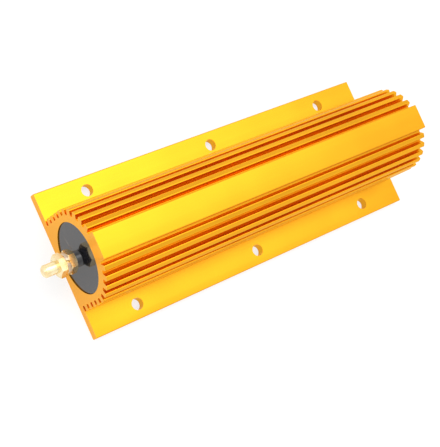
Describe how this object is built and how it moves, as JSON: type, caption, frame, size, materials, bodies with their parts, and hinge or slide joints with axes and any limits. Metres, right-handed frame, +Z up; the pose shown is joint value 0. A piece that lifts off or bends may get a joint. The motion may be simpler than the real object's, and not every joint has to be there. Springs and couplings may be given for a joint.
{
  "type": "aluminium housed power resistor",
  "caption": "Wire-wound power resistor in a gold anodised finned aluminium extrusion with drilled mounting flanges and a threaded stud terminal at each end.",
  "frame": {"origin": "middle of the flat mounting face, under the middle of the housing", "axes": "+X along the housing and its terminals, +Y across the flanges, +Z up out of the mounting face"},
  "size_m": [0.2356, 0.073, 0.0468],
  "materials": {
    "gold_anodised": "satin gold anodised",
    "black_moulding": "gloss",
    "terminal_brass": "bright, turned",
    "washer_steel": "plated spring steel",
    "cap_steel": "pressed",
    "resistance_alloy": "drawn wire",
    "ceramic": "matt",
    "cement": "matt, cast"
  },
  "bodies": {
    "root": {"housing": "gold_anodised", "ceramic_core": "ceramic", "resistance_wire": "resistance_alloy", "cement_filling": "cement", "end_cap_left": "cap_steel", "end_cap_right": "cap_steel", "terminal_stud_left": "terminal_brass", "terminal_stud_right": "terminal_brass", "end_disc_left": "black_moulding", "end_disc_right": "black_moulding", "inner_nut_left": "terminal_brass", "inner_nut_right": "terminal_brass", "lock_washer_left": "washer_steel", "lock_washer_right": "washer_steel", "outer_nut_left": "terminal_brass", "outer_nut_right": "terminal_brass"}
  },
  "joints": []
}
